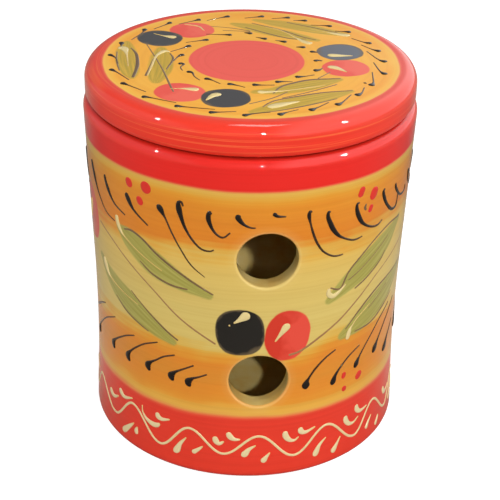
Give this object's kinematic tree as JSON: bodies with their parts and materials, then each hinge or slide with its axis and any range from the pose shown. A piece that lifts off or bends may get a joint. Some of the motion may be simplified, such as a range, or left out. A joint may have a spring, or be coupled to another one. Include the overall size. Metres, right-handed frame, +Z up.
{
  "type": "garlic keeper",
  "caption": "Round glazed pottery jar with vent holes in its front wall and a loose flat lid, for keeping garlic bulbs dry and dark.",
  "frame": {"origin": "middle of the foot, on the surface that the keeper stands on", "axes": "+Z up along the pot's axis, -Y out of the vent holes, +X to the right of someone who faces them"},
  "size_m": [0.1316, 0.1316, 0.1543],
  "materials": {
    "jar_glaze": "painted earthenware under a clear gloss glaze",
    "lid_glaze": "painted earthenware under a clear gloss glaze"
  },
  "bodies": {
    "jar": {"jar": "jar_glaze"},
    "lid": {"lid": "lid_glaze"}
  },
  "joints": [
    {"name": "lid_lift", "type": "slide", "parent": "jar", "child": "lid", "axis": [0, 0, 1], "range_m": [0, 0.08]}
  ]
}
